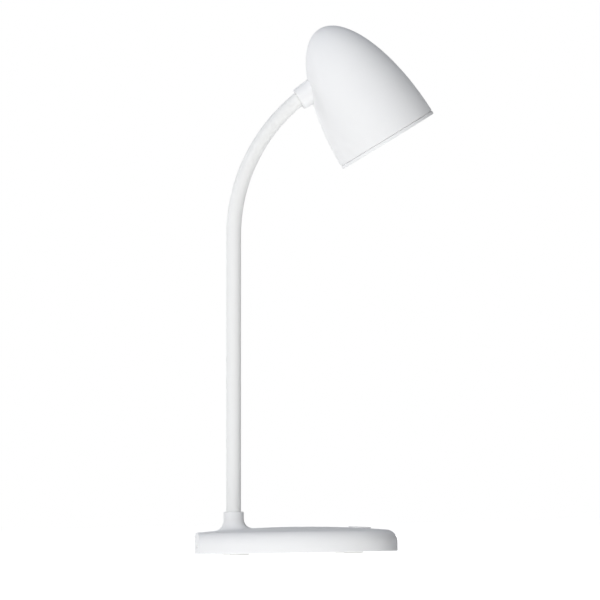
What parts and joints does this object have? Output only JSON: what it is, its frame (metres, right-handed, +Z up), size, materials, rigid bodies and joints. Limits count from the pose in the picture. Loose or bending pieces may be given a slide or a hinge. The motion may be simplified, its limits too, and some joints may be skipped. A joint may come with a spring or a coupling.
{
  "type": "desk lamp",
  "caption": "Desk lamp with a bell shaped shade on a flexible neck, a low oval weighted base cut flat at the back, a push button and a charging inlet.",
  "frame": {"origin": "on the table, under the middle of the whole lamp's box", "axes": "+Z up; +X forward, from the neck towards the button; +Y to the lamp's left"},
  "size_m": [0.191, 0.131, 0.412],
  "materials": {
    "white_abs": "satin",
    "plate_abs": "fine texture",
    "white_silicone": "satin",
    "wound_steel": "drawn",
    "plated_steel": "nickel plated",
    "brass": "turned",
    "weight_steel": "phosphated",
    "foot_rubber": "matte",
    "sheet_film": "smooth",
    "battery_wrap": "heat shrunk film",
    "red_lead": "smooth",
    "grey_lead": "smooth",
    "circuit_board": "solder mask",
    "black_plastic": "matte",
    "plunger_plastic": "smooth",
    "aluminium": "stamped",
    "white_board": "white solder mask",
    "phosphor": "resin",
    "reflector_white": "polished",
    "opal_diffuser": "frosted"
  },
  "bodies": {
    "base": {"base_cover": "white_abs", "neck_boss": "white_abs", "base_plate": "plate_abs", "feet": "foot_rubber", "base_screws": "plated_steel", "counterweight": "weight_steel", "insulating_sheet": "sheet_film", "battery_pack": "battery_wrap", "battery_lead": "red_lead", "charge_board": "circuit_board", "charge_parts": "black_plastic", "usb_shell": "plated_steel", "usb_tongue": "black_plastic", "switch_board": "circuit_board", "switch_case": "black_plastic", "board_screws": "plated_steel", "board_lead": "red_lead", "lower_ferrule": "plated_steel", "lower_washer": "plated_steel", "lower_nut": "brass", "sleeve_base": "white_silicone", "neck_lead": "grey_lead"},
    "link_1": {"neck_sleeve_1": "white_silicone", "neck_core_1": "wound_steel"},
    "link_2": {"neck_sleeve_2": "white_silicone", "neck_core_2": "wound_steel"},
    "link_3": {"neck_sleeve_3": "white_silicone", "neck_core_3": "wound_steel"},
    "link_4": {"neck_sleeve_4": "white_silicone", "neck_core_4": "wound_steel"},
    "link_5": {"neck_sleeve_5": "white_silicone", "neck_core_5": "wound_steel"},
    "link_6": {"neck_sleeve_6": "white_silicone", "neck_core_6": "wound_steel"},
    "link_7": {"neck_sleeve_7": "white_silicone", "neck_core_7": "wound_steel"},
    "link_8": {"neck_sleeve_8": "white_silicone", "neck_core_8": "wound_steel"},
    "link_9": {"neck_sleeve_9": "white_silicone", "neck_core_9": "wound_steel"},
    "head": {"sleeve_head": "white_silicone", "upper_ferrule": "plated_steel", "upper_washer": "plated_steel", "upper_nut": "brass", "shade": "white_abs", "heat_sink": "aluminium", "head_screws": "plated_steel", "led_board": "white_board", "led_chips": "phosphor", "led_screws": "plated_steel", "reflector": "reflector_white", "diffuser": "opal_diffuser"},
    "button": {"power_button": "white_abs", "switch_plunger": "plunger_plastic"}
  },
  "joints": [
    {"name": "lower_bend", "type": "hinge", "parent": "base", "child": "link_1", "pos_m": [-0.06635, 0, 0.0338], "axis": [0, 1, 0], "range_deg": [-12, 12], "deforming": ["neck_lead"]},
    {"name": "side_bend", "type": "hinge", "parent": "link_1", "child": "link_2", "pos_m": [-0.06559, 0, 0.07683], "axis": [0.9998, 0, -0.0175], "range_deg": [-12, 12], "deforming": ["neck_lead"]},
    {"name": "lower_bend_2", "type": "hinge", "parent": "link_2", "child": "link_3", "pos_m": [-0.06484, 0, 0.11987], "axis": [0, 1, 0], "range_deg": [-12, 12], "deforming": ["neck_lead"]},
    {"name": "side_bend_2", "type": "hinge", "parent": "link_3", "child": "link_4", "pos_m": [-0.06409, 0, 0.1629], "axis": [0.9998, 0, -0.0175], "range_deg": [-12, 12], "deforming": ["neck_lead"]},
    {"name": "lower_bend_3", "type": "hinge", "parent": "link_4", "child": "link_5", "pos_m": [-0.06334, 0, 0.20593], "axis": [0, 1, 0], "range_deg": [-12, 12], "deforming": ["neck_lead"]},
    {"name": "upper_bend", "type": "hinge", "parent": "link_5", "child": "link_6", "pos_m": [-0.06259, 0, 0.24897], "axis": [0, 1, 0], "range_deg": [-12, 12], "deforming": ["neck_lead"]},
    {"name": "upper_bend_2", "type": "hinge", "parent": "link_6", "child": "link_7", "pos_m": [-0.05868, 0, 0.27914], "axis": [0, 1, 0], "range_deg": [-12, 12], "deforming": ["neck_lead"]},
    {"name": "head_turn", "type": "hinge", "parent": "link_7", "child": "link_8", "pos_m": [-0.04822, 0, 0.30771], "axis": [0.8949, 0, -0.4462], "range_deg": [-12, 12], "deforming": ["neck_lead"]},
    {"name": "upper_bend_3", "type": "hinge", "parent": "link_8", "child": "link_9", "pos_m": [-0.0317, 0, 0.33326], "axis": [0, 1, 0], "range_deg": [-12, 12], "deforming": ["neck_lead"]},
    {"name": "upper_bend_4", "type": "hinge", "parent": "link_9", "child": "head", "pos_m": [-0.00996, 0, 0.35453], "axis": [0, 1, 0], "range_deg": [-12, 12], "deforming": ["neck_lead"]},
    {"name": "button_press", "type": "slide", "parent": "base", "child": "button", "axis": [-0.0646, 0, -0.9979], "range_m": [0, 0.0008], "stiffness_N_per_m": 1500}
  ],
  "couplings": [
    {"joint": "lower_bend_2", "follows": "lower_bend", "ratio": 1},
    {"joint": "lower_bend_3", "follows": "lower_bend", "ratio": 1},
    {"joint": "side_bend_2", "follows": "side_bend", "ratio": 1},
    {"joint": "upper_bend_2", "follows": "upper_bend", "ratio": 1},
    {"joint": "upper_bend_3", "follows": "upper_bend", "ratio": 1},
    {"joint": "upper_bend_4", "follows": "upper_bend", "ratio": 1}
  ]
}
